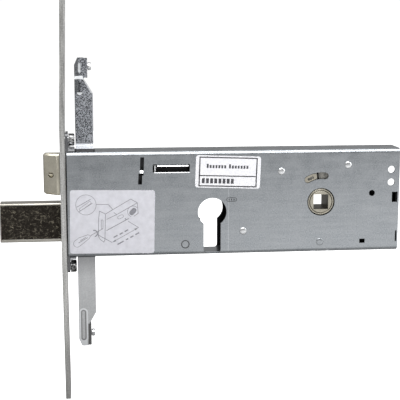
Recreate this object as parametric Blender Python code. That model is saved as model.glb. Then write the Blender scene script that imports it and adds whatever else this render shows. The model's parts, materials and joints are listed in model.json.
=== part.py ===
"""A mortise lock for metal doors: a long case with latch, deadbolt, follower, cylinder hole and two rod arms.

Frame: the faceplate's front face is x = 0 and the lock goes into the door along +X, so both bolts project
towards -X. Y runs across the door's thickness with the case's middle at y = 0, and the visible side of the
case is the -Y side. Z is up, with the middle of the case at z = 0.

All dimensions are in millimetres and become metres when a mesh is made. Inside the case the pieces lie in
layers across Y: upper arm, tumbler, bolt carriage, draw slide with latch shank, lower arm.
"""

from math import atan2, cos, hypot, pi, radians, sin, sqrt

import bmesh
import bpy
from mathutils import Vector

MM = 0.001
GAP = 0.3

# Faceplate: the (x, z) corners of its front face from top to bottom, bent back a little towards both ends
FACE_PATH = [(1.65, 119.8), (0.0, 45.0), (0.0, -35.0), (0.75, -118.2)]
FACE_WIDTH = 25.0
FACE_THICKNESS = 3.0
FIXING_PLACES = ((1.4, 108.7), (0.65, -107.3))
HOLE_RADIUS = 2.8
HEAD_RADIUS = 5.0

# Case
CASE_FRONT = 3.9
CASE_REAR = 205.0
CASE_HEIGHT = 63.2
CASE_THICKNESS = 18.5
SHEET = 1.2
BEND = 2.7

# Mounting flange behind the faceplate, its sides between the two halves of the case
FLANGE_FRONT = FACE_THICKNESS + GAP
FLANGE_BACK = FLANGE_FRONT + 1.5
FLANGE_WIDTH = 15.5
FLANGE_LOW, FLANGE_HIGH = -41.3, 42.4
FLANGE_SCREWS_Z = {"upper": 38.0, "lower": -38.7}
BEHIND_FLANGE = FLANGE_BACK + GAP

# Cylinder hole: the standard euro profile with 0.4 mm over its 17 mm circle and 10 mm slot, and a flat foot
CYLINDER_X = 90.0
CYLINDER_Z = -5.7
PROFILE_RADIUS = 8.7
PROFILE_SLOT = 10.4
PROFILE_HEIGHT = 33.9
PROFILE_CORNER = 2.0

# Follower
FOLLOWER_X = 156.4
FOLLOWER_Z = -0.6
HUB_RADIUS = 8.1
HUB_HOLE_RADIUS = 8.5
SPINDLE_SQUARE = 9.0
SLOT_RADIUS = 16.0
SLOT_WIDTH = 4.2

# Latch
LATCH_Z = 17.65
LATCH_HEIGHT = 24.7
LATCH_PROJECTION = 10.1
LATCH_BLOCK_REAR = -0.3
LATCH_BEVEL = 1.2
LATCH_PIN = (-5.6, 17.35)
LATCH_PIN_RADIUS = 1.45

# Deadbolt
BOLT_Z = -10.85
BOLT_HEIGHT = 23.3
BOLT_PROJECTION = 36.0
BOLT_THICKNESS = 11.0
BOLT_THROW = 35.8
BOLT_CHAMFER = 0.5
BOLT_PANEL = (-20.7, -0.3)
BOLT_PANEL_DEPTH = 0.45

# Rod arms
ARM_LEFT = 9.2
ARM_RIGHT = 19.9
ARM_SHEET = 1.7
LEG_INSET = 0.05
ARM_STROKE = 10.0
ARM_PIN_X = 70.5
ARM_PIN_RADIUS = 2.0
ARM_RIB_X = 12.2
ARM_RIB_RADIUS = 2.1
ARM_RIB_FLOOR_RADIUS = 1.3
ARM_RIB_DEPTH = 0.6
UPPER_END_Z = 86.0
UPPER_PIN_Z = 25.0
UPPER_FACE_Y = 2.6
UPPER_HEAD_SETBACK = 0.8
UPPER_SCREW = (7.8, 80.8)
LOWER_END_Z = -88.8
LOWER_PIN_Z = 12.8
LOWER_FACE_Y = -1.0
LOWER_SCREW = (4.2, -81.9)
ROD_SCREW_RADIUS = 1.7

# Layers across the case, each a (low y, high y) pair
HALF = CASE_THICKNESS / 2
INNER = HALF - SHEET
UPPER_ARM_LAYER = (-7.65, -5.95)
TUMBLER_LAYER = (-5.2, -2.2)
CARRIAGE_LAYER = (-1.7, 1.7)
SLIDE_LAYER = (3.8, 5.4)
LOWER_ARM_LAYER = (5.95, 7.65)
LATCH_SHANK_LAYER = (2.2, 5.5)

# Pillars that rivet the two halves of the case together: name and (x, z)
PILLARS = {
    "pillar_front_lower": (73.7, -25.0),
    "pillar_middle_lower": (108.8, -17.6),
    "pillar_middle_upper": (131.8, 18.4),
    "pillar_rear_upper": (172.8, 21.7),
    "pillar_rear_lower": (156.2, -25.3),
}
PILLAR_RADIUS = 3.25
SPIGOT_RADIUS = 1.7
THICK_SPIGOT_RADIUS = 2.1
SPRING_POST = (171.2, -25.0)
TUMBLER_PIVOT = PILLARS["pillar_middle_upper"]

# Fixing holes at the rear of the shell, and the heights between which the far plate is open behind them
REAR_HOLE_X = 199.9
REAR_HOLE_RADIUS = 2.2
REAR_HOLES_Z = (18.6, 10.8)
REAR_WINDOW = (5.6, 24.0)

# Hooks of the far plate that grip the shell's top and bottom walls: (x, length)
HOOKS = ((54.8, 5.4), (153.8, 12.4))

# Rivets inside the case that join the latch to its slide and the deadbolt to its carriage: (x, z)
LINK_RIVET_RADIUS = 1.5
SLIDE_RIVETS = {"lower": (26.0, 13.4), "upper": (26.0, 19.6)}
BOLT_RIVETS = {"upper": (27.0, -4.5), "lower": (27.0, -15.5)}

ROUND_STEPS = 28
SMALL_STEPS = 16


# ---------------------------------------------------------------- outlines


def rectangle(low_a, low_b, high_a, high_b):
    return [(low_a, low_b), (high_a, low_b), (high_a, high_b), (low_a, high_b)]


def arc(centre, radius, start, end, steps):
    """Points from angle start to angle end in degrees, counted from the first axis towards the second."""
    angles = [radians(start + (end - start) * i / steps) for i in range(steps + 1)]
    return [(centre[0] + radius * cos(a), centre[1] + radius * sin(a)) for a in angles]


def circle(centre, radius, steps=SMALL_STEPS):
    return arc(centre, radius, 0, 360, steps)[:-1]


def rounded_rectangle(low_a, low_b, high_a, high_b, radius, steps=4):
    return (
        arc((high_a - radius, high_b - radius), radius, 0, 90, steps)
        + arc((low_a + radius, high_b - radius), radius, 90, 180, steps)
        + arc((low_a + radius, low_b + radius), radius, 180, 270, steps)
        + arc((high_a - radius, low_b + radius), radius, 270, 360, steps)
    )


def obround(start, end, radius, steps=8):
    """A slot with round ends between two centres."""
    along = atan2(end[1] - start[1], end[0] - start[0]) * 180 / pi
    return arc(end, radius, along - 90, along + 90, steps) + arc(
        start, radius, along + 90, along + 270, steps
    )


def turned_outline(outline, centre, degrees):
    """The outline turned about centre, from the first axis towards the second."""
    a = radians(degrees)
    moved = [(x - centre[0], z - centre[1]) for x, z in outline]
    return [
        (centre[0] + x * cos(a) - z * sin(a), centre[1] + x * sin(a) + z * cos(a))
        for x, z in moved
    ]


def euro_profile():
    """The cylinder's outline in XZ: a circle with a straight slot below it."""
    radius, half = PROFILE_RADIUS, PROFILE_SLOT / 2
    join = atan2(-sqrt(radius**2 - half**2), half) * 180 / pi
    centre = (CYLINDER_X, CYLINDER_Z)
    inset = half - PROFILE_CORNER
    foot_z = CYLINDER_Z + PROFILE_RADIUS - PROFILE_HEIGHT + PROFILE_CORNER
    left_foot = arc((CYLINDER_X - inset, foot_z), PROFILE_CORNER, 180, 270, 4)
    right_foot = arc((CYLINDER_X + inset, foot_z), PROFILE_CORNER, 270, 360, 4)
    return arc(centre, radius, join, 180 - join, 24) + left_foot + right_foot


def about_follower(radius, degrees):
    """A point at this radius from the follower's axis, at this angle from straight up towards +X."""
    a = radians(degrees)
    return (FOLLOWER_X + radius * sin(a), FOLLOWER_Z + radius * cos(a))


def follower_sector(inner, outer, start, end, steps=8):
    """A ring sector around the follower, angles counted from straight up towards +X."""
    turn = [start + (end - start) * i / steps for i in range(steps + 1)]
    return [about_follower(outer, a) for a in turn] + [about_follower(inner, a) for a in reversed(turn)]


def follower_slot(width, start, end):
    """A curved slot around the follower with round ends; start and end are the angles of its tips."""
    radius = width / 2
    tip = radius / SLOT_RADIUS * 180 / pi
    first = about_follower(SLOT_RADIUS, start + tip)
    last = about_follower(SLOT_RADIUS, end - tip)
    turn = [start + tip + (end - start - 2 * tip) * i / 10 for i in range(11)]
    outer = [about_follower(SLOT_RADIUS + radius, a) for a in turn]
    inner = [about_follower(SLOT_RADIUS - radius, a) for a in reversed(turn)]
    last_cap = arc(last, radius, 90 - turn[-1], -90 - turn[-1], 8)[1:-1]
    first_cap = arc(first, radius, -90 - turn[0], -270 - turn[0], 8)[1:-1]
    return outer + last_cap + inner + first_cap


# ---------------------------------------------------------------- solids


def loft(low_outline, high_outline, axis, low, high):
    """A closed solid between two outlines with as many points, each given in the two other axes in order."""
    place = {
        "X": lambda a, b, t: (t, a, b),
        "Y": lambda a, b, t: (a, t, b),
        "Z": lambda a, b, t: (a, b, t),
    }[axis]
    bm = bmesh.new()
    first = [bm.verts.new(place(a, b, low)) for a, b in low_outline]
    last = [bm.verts.new(place(a, b, high)) for a, b in high_outline]
    bm.faces.new(first)
    bm.faces.new(last[::-1])
    for i in range(len(first)):
        bm.faces.new((first[i - 1], first[i], last[i], last[i - 1]))
    return bm


def prism(outline, axis, low, high):
    """A closed solid: the outline swept along axis."""
    return loft(outline, outline, axis, low, high)


def box(low, high):
    return prism(rectangle(low[0], low[1], high[0], high[1]), "Z", low[2], high[2])


def turned(profile, axis, centre, steps=ROUND_STEPS):
    """A solid of revolution; profile holds (radius, place along axis), and starts and ends on the axis."""
    place = {
        "X": lambda a, b, t: (t, a, b),
        "Y": lambda a, b, t: (a, t, b),
    }[axis]
    bm = bmesh.new()
    rings = []
    for radius, t in profile:
        count = 1 if radius == 0 else steps
        points = [
            (centre[0] + radius * cos(2 * pi * i / steps), centre[1] + radius * sin(2 * pi * i / steps))
            for i in range(count)
        ]
        rings.append([bm.verts.new(place(a, b, t)) for a, b in points])
    for near, far in zip(rings, rings[1:]):
        for i in range(steps):
            j = (i + 1) % steps
            corners = [near[i % len(near)], near[j % len(near)], far[j % len(far)], far[i % len(far)]]
            bm.faces.new(list(dict.fromkeys(corners)))
    return bm


def coil(centre_x, centre_y, low, high, radius, wire, turns):
    """A helical spring along Z, its wire swept round a helix and closed by flat ends."""
    around, per_turn = 6, 14
    steps = turns * per_turn
    rise = (high - low - 2 * wire) / steps
    bm = bmesh.new()
    rings = []
    for i in range(steps + 1):
        a = 2 * pi * i / per_turn
        out = Vector((cos(a), sin(a), 0))
        along = Vector((-sin(a) * radius * 2 * pi / per_turn, cos(a) * radius * 2 * pi / per_turn, rise))
        up = out.cross(along.normalized())
        middle = Vector((centre_x, centre_y, low + wire + rise * i)) + out * radius
        section = [2 * pi * k / around for k in range(around)]
        rings.append([bm.verts.new(middle + (out * cos(s) + up * sin(s)) * wire) for s in section])
    for near, far in zip(rings, rings[1:]):
        for k in range(around):
            bm.faces.new((near[k - 1], near[k], far[k], far[k - 1]))
    bm.faces.new(rings[0])
    bm.faces.new(rings[-1][::-1])
    return bm


def to_mesh(name, solids):
    """One mesh in metres from closed solids, with every face pointing out."""
    joined = bmesh.new()
    for solid in solids:
        piece = bpy.data.meshes.new(name)
        bmesh.ops.recalc_face_normals(solid, faces=solid.faces)
        solid.to_mesh(piece)
        solid.free()
        joined.from_mesh(piece)
        bpy.data.meshes.remove(piece)
    bmesh.ops.scale(joined, vec=(MM, MM, MM), verts=joined.verts)
    mesh = bpy.data.meshes.new(name)
    joined.to_mesh(mesh)
    joined.free()
    return mesh


def piece(name, material, solid):
    obj = bpy.data.objects.new(name, to_mesh(name, [solid]))
    obj.data.materials.append(material)
    obj.data.shade_smooth()
    obj.data.set_sharp_from_angle(angle=radians(30))
    bpy.context.scene.collection.objects.link(obj)
    return obj


def boolean(obj, operation, solids):
    """Adds one exact Boolean whose hidden helper holds all the solids, which don't meet each other."""
    helper = bpy.data.objects.new(f"{obj.name}_{operation.lower()}", to_mesh(obj.name, solids))
    helper.hide_render = True
    helper.display_type = "WIRE"
    bpy.context.scene.collection.objects.link(helper)
    modifier = obj.modifiers.new(helper.name, "BOOLEAN")
    modifier.operation = operation
    modifier.solver = "EXACT"
    modifier.object = helper


def cut(obj, *solids):
    boolean(obj, "DIFFERENCE", solids)


def unite(obj, *solids):
    boolean(obj, "UNION", solids)


def keep_inside(obj, solid):
    boolean(obj, "INTERSECT", [solid])


def bevel(obj, width, degrees=40):
    modifier = obj.modifiers.new("edge", "BEVEL")
    modifier.width = width * MM
    modifier.segments = 1
    modifier.limit_method = "ANGLE"
    modifier.angle_limit = radians(degrees)


def joint_frame(name, x, y, z):
    """An empty on a joint's axis, the parent of the pieces that move with it."""
    empty = bpy.data.objects.new(name, None)
    empty.location = (x * MM, y * MM, z * MM)
    empty.empty_display_size = 0.01
    bpy.context.scene.collection.objects.link(empty)
    return empty


def carry(empty, *pieces):
    bpy.context.view_layer.update()
    for obj in pieces:
        obj.parent = empty
        obj.matrix_parent_inverse = empty.matrix_world.inverted()


def make_material(name, colour, roughness, metallic):
    material = bpy.data.materials.new(name)
    material.use_nodes = True
    shader = material.node_tree.nodes["Principled BSDF"]
    shader.inputs["Base Color"].default_value = (*colour, 1.0)
    shader.inputs["Roughness"].default_value = roughness
    shader.inputs["Metallic"].default_value = metallic
    material.diffuse_color = (*colour, 1.0)
    return material


# ---------------------------------------------------------------- front


def bolt_openings(low, high):
    """The latch and deadbolt openings through the faceplate and the flange behind it."""
    half, latch_half, bolt_half = 5.9, LATCH_HEIGHT / 2 + 0.4, BOLT_HEIGHT / 2 + 0.4
    latch = rounded_rectangle(-half, LATCH_Z - latch_half, half, LATCH_Z + latch_half, 0.6)
    bolt = rectangle(-half, BOLT_Z - bolt_half, half, BOLT_Z + bolt_half)
    return [prism(latch, "X", low, high), prism(bolt, "X", low, high)]


def countersunk_hole(x, z):
    """A cutter for a 90 degree countersunk hole through the faceplate, whose front face is at x here."""
    back = x + FACE_THICKNESS + 1
    profile = [
        (0, x - 1),
        (HEAD_RADIUS + 1, x - 1),
        (HOLE_RADIUS, x + HEAD_RADIUS - HOLE_RADIUS),
        (HOLE_RADIUS, back),
        (0, back),
    ]
    return turned(profile, "X", (0, z))


def make_faceplate(material):
    section = sheet_section(FACE_PATH, FACE_THICKNESS)
    plate = piece("faceplate", material, prism(section, "Y", -FACE_WIDTH / 2, FACE_WIDTH / 2))
    holes = [countersunk_hole(x, z) for x, z in FIXING_PLACES]
    holes += [countersunk_hole(0, z) for z in FLANGE_SCREWS_Z.values()]
    cut(plate, *bolt_openings(-1, FACE_THICKNESS + 1), *holes)
    return plate


def make_flange(material):
    """The bent strip that closes the front of the case and carries the nuts above and below it."""
    half = FLANGE_WIDTH / 2
    outline = rounded_rectangle(-half, FLANGE_LOW, half, FLANGE_HIGH, 2.0)
    flange = piece("mounting_flange", material, prism(outline, "X", FLANGE_FRONT, FLANGE_BACK))
    feet = []
    for side in (1, -1):
        base = side * (CASE_HEIGHT / 2 + GAP)
        curve = arc((FLANGE_BACK + 2.0, base + side * 3.1), 2.0, 180, 180 + side * 90, 6)
        foot = [(FLANGE_BACK - 0.6, base + side * 3.1)] + curve + [(8.6, base + side * 1.1), (8.6, base)]
        feet.append(prism(foot + [(FLANGE_BACK - 0.6, base)], "Y", -half, half))
    unite(flange, *feet)
    low, high = FLANGE_FRONT - 1, FLANGE_BACK + 1
    screw_holes = [prism(circle((0, z), HOLE_RADIUS), "X", low, high) for z in FLANGE_SCREWS_Z.values()]
    cut(flange, *bolt_openings(low, high), *screw_holes)
    return flange


def make_faceplate_screw(name, z, material):
    """A countersunk M5 screw with a cross recess, its tip flush with the back of its nut."""
    profile = [
        (0, 0.2),
        (4.5, 0.2),
        (2.5, 2.2),
        (2.5, 8.0),
        (1.8, 8.7),
        (0, 8.7),
    ]
    screw = piece(name, material, turned(profile, "X", (0, z), SMALL_STEPS))
    cut(screw, box((-1, -0.45, z - 2.4), (1.4, 0.45, z + 2.4)))
    cut(screw, box((-1, -2.4, z - 0.45), (1.4, 2.4, z + 0.45)))
    return screw


def make_weld_nut(name, z, material):
    profile = [
        (0, BEHIND_FLANGE),
        (3.7, BEHIND_FLANGE),
        (3.7, 8.2),
        (3.2, 8.7),
        (0, 8.7),
    ]
    nut = piece(name, material, turned(profile, "X", (0, z), 24))
    cut(nut, prism(circle((0, z), 2.7), "X", BEHIND_FLANGE - 1, 10))
    return nut


# ---------------------------------------------------------------- case


def spigot_radius(name):
    return THICK_SPIGOT_RADIUS if name == "pillar_front_lower" else SPIGOT_RADIUS


def rivet_holes(low, high):
    return [
        prism(circle(place, spigot_radius(name) + GAP), "Y", low, high) for name, place in PILLARS.items()
    ]


def make_case_shell(material):
    """The near half of the case: its large face with the top and bottom walls folded back from it."""
    top, near, back = CASE_HEIGHT / 2, -HALF, INNER - GAP
    inner_top, inner_near, inner_bend = top - SHEET, near + SHEET, BEND - SHEET
    outline = (
        [(back, top)]
        + arc((near + BEND, top - BEND), BEND, 90, 180, 5)
        + arc((near + BEND, BEND - top), BEND, 180, 270, 5)
        + [(back, -top), (back, -inner_top)]
        + arc((near + BEND, BEND - top), inner_bend, 270, 180, 5)
        + arc((near + BEND, top - BEND), inner_bend, 180, 90, 5)
        + [(back, inner_top)]
    )
    shell = piece("case_shell", material, prism(outline, "X", CASE_FRONT, CASE_REAR))
    low, high = near - 1, inner_near + 1
    step_slot = [
        (47.0, 28.0),
        (49.3, 28.0),
        (48.9, 17.2),
        (48.1, 17.2),
        (47.9, 11.8),
        (45.6, 11.8),
        (45.9, 18.4),
        (46.7, 18.4),
    ]
    cut(
        shell,
        prism(euro_profile(), "Y", low, high),
        prism(circle((FOLLOWER_X, FOLLOWER_Z), HUB_HOLE_RADIUS, ROUND_STEPS), "Y", low, high),
        prism(follower_slot(SLOT_WIDTH, -39, 16), "Y", low, high),
        prism(step_slot, "Y", low, high),
        prism(rounded_rectangle(54.3, 18.9, 76.4, 23.7, 0.5, 2), "Y", low, high),
        prism(circle((188.0, 4.3), 1.9, 12), "Y", low, high),
        prism(rectangle(200.6, -1.5, 204.1, 4.8), "Y", low, high),
        prism(rectangle(180.9, -26.6, 184.3, -24.0), "Y", low, high),
        prism(rectangle(203.3, -26.0, 204.3, -19.3), "Y", low, high),
        prism(rectangle(150.8, -top - 1, 153.9, 1.0 - top), "Y", low, high),
        prism(rectangle(160.8, -top - 1, 162.4, 1.2 - top), "Y", low, high),
        *rivet_holes(low, high),
        *[prism(circle((REAR_HOLE_X, z), REAR_HOLE_RADIUS), "Y", low, high) for z in REAR_HOLES_Z],
    )
    arm_slots = [
        box((ARM_LEFT - 0.5, -7.8, 29), (ARM_RIGHT + 0.5, 4.9, 33)),
        box((ARM_LEFT - 0.5, -2.2, -33), (ARM_RIGHT + 0.5, back + 1, -29)),
    ]
    hook_notches = [
        box((x - 0.4, 5.2, side - 2), (x + width + 0.4, back + 1, side + 2))
        for x, width in HOOKS
        for side in (top, -top)
    ]
    flange_room = [
        box((CASE_FRONT - 1, inner_near, edge - 2), (BEHIND_FLANGE, back + 1, edge + 2))
        for edge in (inner_top, -inner_top)
    ]
    cut(shell, *arm_slots, *hook_notches, *flange_room)
    return shell


def make_back_plate(material):
    """The far half of the case: a flat plate with the rear wall and the hooks that grip the shell."""
    top = CASE_HEIGHT / 2
    plate = piece(
        "case_back_plate",
        material,
        prism(rectangle(CASE_FRONT, -top, CASE_REAR, top), "Y", INNER, HALF),
    )
    rear_walls = [
        box((203.5, GAP - INNER, low), (CASE_REAR - GAP, HALF - 0.5, high))
        for low, high in ((BEND - top, REAR_WINDOW[0]), (REAR_WINDOW[1], top - BEND))
    ]
    hooks = [
        box((x, 5.6, side * (top - 0.6) - 0.6), (x + width, HALF - 0.5, side * (top - 0.6) + 0.6))
        for x, width in HOOKS
        for side in (1, -1)
    ]
    unite(plate, *rear_walls, *hooks)
    low, high = INNER - 0.5, HALF + 1
    window = rectangle(REAR_HOLE_X - REAR_HOLE_RADIUS, REAR_WINDOW[0] + 0.4, CASE_REAR + 1, 21.0)
    cut(
        plate,
        prism(euro_profile(), "Y", low, high),
        prism(circle((FOLLOWER_X, FOLLOWER_Z), HUB_HOLE_RADIUS, ROUND_STEPS), "Y", low, high),
        prism(circle(SPRING_POST, THICK_SPIGOT_RADIUS + GAP, 12), "Y", low, high),
        prism(window, "Y", low, high),
        *rivet_holes(low, high),
    )
    return plate


def make_pillar(name, place, material):
    """A spacer between the two plates, with a spigot at each end that is riveted over flush."""
    shoulder, end, spigot = INNER - GAP, HALF - 0.1, spigot_radius(name)
    profile = [
        (0, -end),
        (spigot, -end),
        (spigot, -shoulder),
        (PILLAR_RADIUS, -shoulder),
        (PILLAR_RADIUS, shoulder),
        (spigot, shoulder),
        (spigot, end),
        (0, end),
    ]
    return piece(name, material, turned(profile, "Y", place, SMALL_STEPS))


def make_spring_post(material):
    """The stub that the follower's spring stands on, riveted into the far plate only."""
    profile = [
        (0, -1.5),
        (PILLAR_RADIUS, -1.5),
        (PILLAR_RADIUS, INNER - GAP),
        (THICK_SPIGOT_RADIUS, INNER - GAP),
        (THICK_SPIGOT_RADIUS, HALF - 0.1),
        (0, HALF - 0.1),
    ]
    return piece("spring_post", material, turned(profile, "Y", SPRING_POST, SMALL_STEPS))


# ---------------------------------------------------------------- latch and follower


def make_latch(material):
    """The latch head outside the faceplate, slanted on its near side, with the shank that carries it."""
    tip, rear, half = -LATCH_PROJECTION, LATCH_BLOCK_REAR, 5.5
    low, high = LATCH_Z - LATCH_HEIGHT / 2, LATCH_Z + LATCH_HEIGHT / 2
    head = [
        (rear + 2, half),
        (tip + 0.8, half),
        (tip, half - 0.8),
        (tip, 1.8),
        (tip + 0.8, 0.6),
        (rear - 0.9, -half),
        (rear + 2, 2.9 - half),
    ]
    latch = piece("latch_bolt", material, prism(head, "Z", low, high))
    bevel(latch, LATCH_BEVEL, 60)
    cut(latch, box((rear, -half - 1, low - 1), (rear + 3, half + 1, high + 1)))
    shank = box((rear - 2, LATCH_SHANK_LAYER[0], low + 2.1), (21.0, LATCH_SHANK_LAYER[1], 21.4))
    tongue = box((20.3, LATCH_SHANK_LAYER[0], low + 4.1), (31.0, SLIDE_LAYER[0] - GAP, 22.8))
    unite(latch, shank)
    unite(latch, tongue)
    pin_hole = prism(circle(LATCH_PIN, LATCH_PIN_RADIUS + GAP, SMALL_STEPS), "Y", -9, 3.0)
    cut(latch, pin_hole, *link_rivet_holes(SLIDE_RIVETS))
    return latch


def make_latch_pin(material):
    """The pin in the hole of the latch head, with a ridge across it for a spanner."""
    x, z = LATCH_PIN
    profile = [
        (0, -1.0),
        (LATCH_PIN_RADIUS, -1.0),
        (LATCH_PIN_RADIUS, 2.7),
        (0, 2.7),
    ]
    pin = piece("latch_pin", material, turned(profile, "Y", LATCH_PIN, SMALL_STEPS))
    above = box((x - 2, -2, z + 0.35), (x + 2, 1.2, z + 2))
    below = box((x - 2, -2, z - 2), (x + 2, 1.2, z - 0.35))
    cut(pin, above, below)
    return pin


def make_draw_slide(material):
    """The bar that carries the follower's pull to the latch: a leg at each end, and a bridge between."""
    low, high = 25.3, 29.4
    outline = [
        (21.3, high),
        (21.3, 9.9),
        (31.0, 9.9),
        (33.0, low - 2),
        (35.0, low),
        (154.3, low),
        (154.3, 19.0),
        (158.0, 19.0),
        (158.6, 20.0),
        (158.6, high),
    ]
    slide = piece("draw_slide", material, prism(outline, "Y", *SLIDE_LAYER))
    cut(slide, *link_rivet_holes(SLIDE_RIVETS))
    return slide


def link_rivet_holes(places):
    radius = LINK_RIVET_RADIUS + GAP
    return [prism(circle(place, radius, 12), "Y", -3, 7) for place in places.values()]


def make_link_rivet(name, place, low, high, material):
    profile = [
        (0, low),
        (LINK_RIVET_RADIUS, low),
        (LINK_RIVET_RADIUS, high),
        (0, high),
    ]
    return piece(name, material, turned(profile, "Y", place, 12))


def make_follower(material):
    """The hub with its square hole, the indicator tab in the curved slot, and two lobes behind it."""
    end = HALF - 0.2
    profile = [
        (0, -end),
        (6.6, -end),
        (6.9, 0.3 - end),
        (7.2, -end),
        (HUB_RADIUS - 0.4, -end),
        (HUB_RADIUS, 0.4 - end),
        (HUB_RADIUS, end - 0.4),
        (HUB_RADIUS - 0.4, end),
        (7.2, end),
        (6.9, end - 0.3),
        (6.6, end),
        (0, end),
    ]
    hub = piece("follower_hub", material, turned(profile, "Y", (FOLLOWER_X, FOLLOWER_Z), 32))
    unite(hub, prism(follower_sector(6.6, 19.6, -43, 20), "Y", 0.35 - INNER, -5.6))
    unite(hub, prism(follower_slot(SLOT_WIDTH - 2 * GAP, -38, -9.5), "Y", -8.9, -7.2))
    lever_tip = about_follower(22.9, -13.5)
    lever = arc(lever_tip, 2.5, 200, -10, 10) + [about_follower(6.6, -5), about_follower(6.6, -60)]
    unite(hub, prism(lever, "Y", 2.0, 5.4))
    lobe_tip = (FOLLOWER_X + 14.6, FOLLOWER_Z)
    lobe = arc(lobe_tip, 2.8, 90, -90, 8) + [about_follower(6.8, 150), about_follower(6.8, 40)]
    unite(hub, prism(lobe, "Y", 2.0, 5.4))
    half = SPINDLE_SQUARE / 2
    square = rectangle(FOLLOWER_X - half, FOLLOWER_Z - half, FOLLOWER_X + half, FOLLOWER_Z + half)
    recess = obround(about_follower(15.8, -29), about_follower(15.8, -20), 0.8, 6)
    cut(
        hub,
        prism(square, "Y", -HALF - 1, HALF + 1),
        prism(recess, "Y", -10, -8.3),
        prism(follower_sector(13.0, 18.4, -8.6, -5, 2), "Y", -10, -5),
    )
    return hub


def make_follower_spring(material):
    low, high = SPRING_POST[1] + PILLAR_RADIUS + GAP, FOLLOWER_Z - 2.8 - GAP
    return piece("follower_spring", material, coil(SPRING_POST[0], 3.7, low, high, 2.2, 0.4, 6))


# ---------------------------------------------------------------- deadbolt and carriage


def make_deadbolt(material):
    """The square bolt with a shallow panel in each side, and the tail that its carriage is riveted to."""
    half = BOLT_THICKNESS / 2
    low, high = BOLT_Z - BOLT_HEIGHT / 2, BOLT_Z + BOLT_HEIGHT / 2
    bolt = piece("deadbolt", material, box((-BOLT_PROJECTION, -half, low), (20.0, half, high)))
    bevel(bolt, BOLT_CHAMFER)
    unite(bolt, box((16.0, 2.0, -19.0), (34.0, half, -1.5)))
    left, right = 0.7 - BOLT_PROJECTION, 14.0
    near_panel = box((left, -half - 1, BOLT_PANEL[0]), (right, BOLT_PANEL_DEPTH - half, BOLT_PANEL[1]))
    far_panel = box((left, half - BOLT_PANEL_DEPTH, BOLT_PANEL[0]), (right, half + 1, BOLT_PANEL[1]))
    cut(bolt, near_panel, far_panel, *link_rivet_holes(BOLT_RIVETS))
    return bolt


def cam_notch(x):
    """A notch in the carriage's lower edge that the cylinder's cam drives."""
    return [(x - 5.0, 3.0), (x + 5.0, 3.0), (x + 3.4, 10.4), (x - 3.4, 10.4)]


def make_carriage(material):
    """The plate that the cylinder's cam pushes, with an oblique groove on each side for an arm's pin."""
    outline = [
        (21.0, -19.0),
        (41.0, -19.0),
        (41.0, 4.6),
        (95.0, 4.6),
        (95.0, 13.4),
        (77.0, 13.4),
        (75.5, 29.4),
        (61.0, 29.4),
        (29.0, 27.6),
        (29.0, 3.0),
        (21.0, 1.0),
    ]
    carriage = piece("bolt_carriage", material, prism(outline, "Y", *CARRIAGE_LAYER))
    radius = ARM_PIN_RADIUS + 0.35
    far_x = ARM_PIN_X - BOLT_THROW
    near_groove = obround((ARM_PIN_X, UPPER_PIN_Z), (far_x, UPPER_PIN_Z - ARM_STROKE), radius, 6)
    far_groove = obround((ARM_PIN_X, LOWER_PIN_Z), (far_x, LOWER_PIN_Z + ARM_STROKE), radius, 6)
    cut(carriage, prism(near_groove, "Y", -3, -0.4), prism(far_groove, "Y", 0.4, 3))
    notches = [prism(cam_notch(x), "Y", -3, 3) for x in (63.5, 81.5)]
    cut(carriage, *notches, *link_rivet_holes(BOLT_RIVETS))
    return carriage


def make_tumbler(material):
    """The lever over the cylinder: the cam lifts its lower edge before it reaches the carriage."""
    x, z = TUMBLER_PIVOT
    outline = (
        arc((x, z), 5.2, -90, 100, 10)
        + [(112.0, 22.0), (104.0, 20.2), (83.0, 19.0), (82.0, 17.5), (82.0, 11.0), (85.0, 9.0)]
        + [(95.0, 8.6), (101.0, 12.0), (118.0, 13.2)]
    )
    tumbler = piece("tumbler", material, prism(outline, "Y", *TUMBLER_LAYER))
    cut(tumbler, prism(circle((x, z), PILLAR_RADIUS + 0.15, SMALL_STEPS), "Y", -7, 0))
    return tumbler


def make_tumbler_spring(material):
    return piece("tumbler_spring", material, coil(98.0, -3.7, 20.3, 30.1, 1.5, 0.3, 5))


# ---------------------------------------------------------------- rod arms


def sheet_section(path, thickness):
    """The outline of a bent sheet in YZ: a path down its near face, thickened towards +Y."""
    offsets = []
    for i, point in enumerate(path):
        legs = []
        for a, b in zip(path[max(i - 1, 0) : i + 1], path[max(i - 1, 0) + 1 : i + 2]):
            length = hypot(b[0] - a[0], b[1] - a[1])
            legs.append((-(b[1] - a[1]) / length, (b[0] - a[0]) / length))
        nx = sum(leg[0] for leg in legs)
        nz = sum(leg[1] for leg in legs)
        scale = thickness * len(legs) / (nx**2 + nz**2)
        offsets.append((point[0] + nx * scale, point[1] + nz * scale))
    return path + offsets[::-1]


def arm_head(side, end_z):
    """The outline of an arm outside the case, from its right shoulder round its head to its left chamfer."""
    neck = ARM_RIGHT - 5.1
    return [
        (ARM_RIGHT, end_z - side * 21.0),
        (neck + 1.8, end_z - side * 15.2),
        (neck, end_z - side * 12.8),
        (neck, end_z),
        (ARM_LEFT + 1.9, end_z),
        (ARM_LEFT, end_z - side * 4.3),
    ]


def make_strap(name, end_z, path, foot_z, leg_outline, leg_layer, material):
    """An arm's joggled strap, whose near face follows path, with the flat leg that it has inside the case."""
    side = 1 if end_z > 0 else -1
    arm = piece(name, material, prism(sheet_section(path, ARM_SHEET), "X", 0, 80))
    strap_outline = arm_head(side, end_z) + [(ARM_LEFT, foot_z), (ARM_RIGHT, foot_z)]
    keep_inside(arm, prism(strap_outline, "Y", -12, 12))
    unite(arm, prism(leg_outline, "Y", leg_layer[0] + LEG_INSET, leg_layer[1] - LEG_INSET))
    return arm


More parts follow.
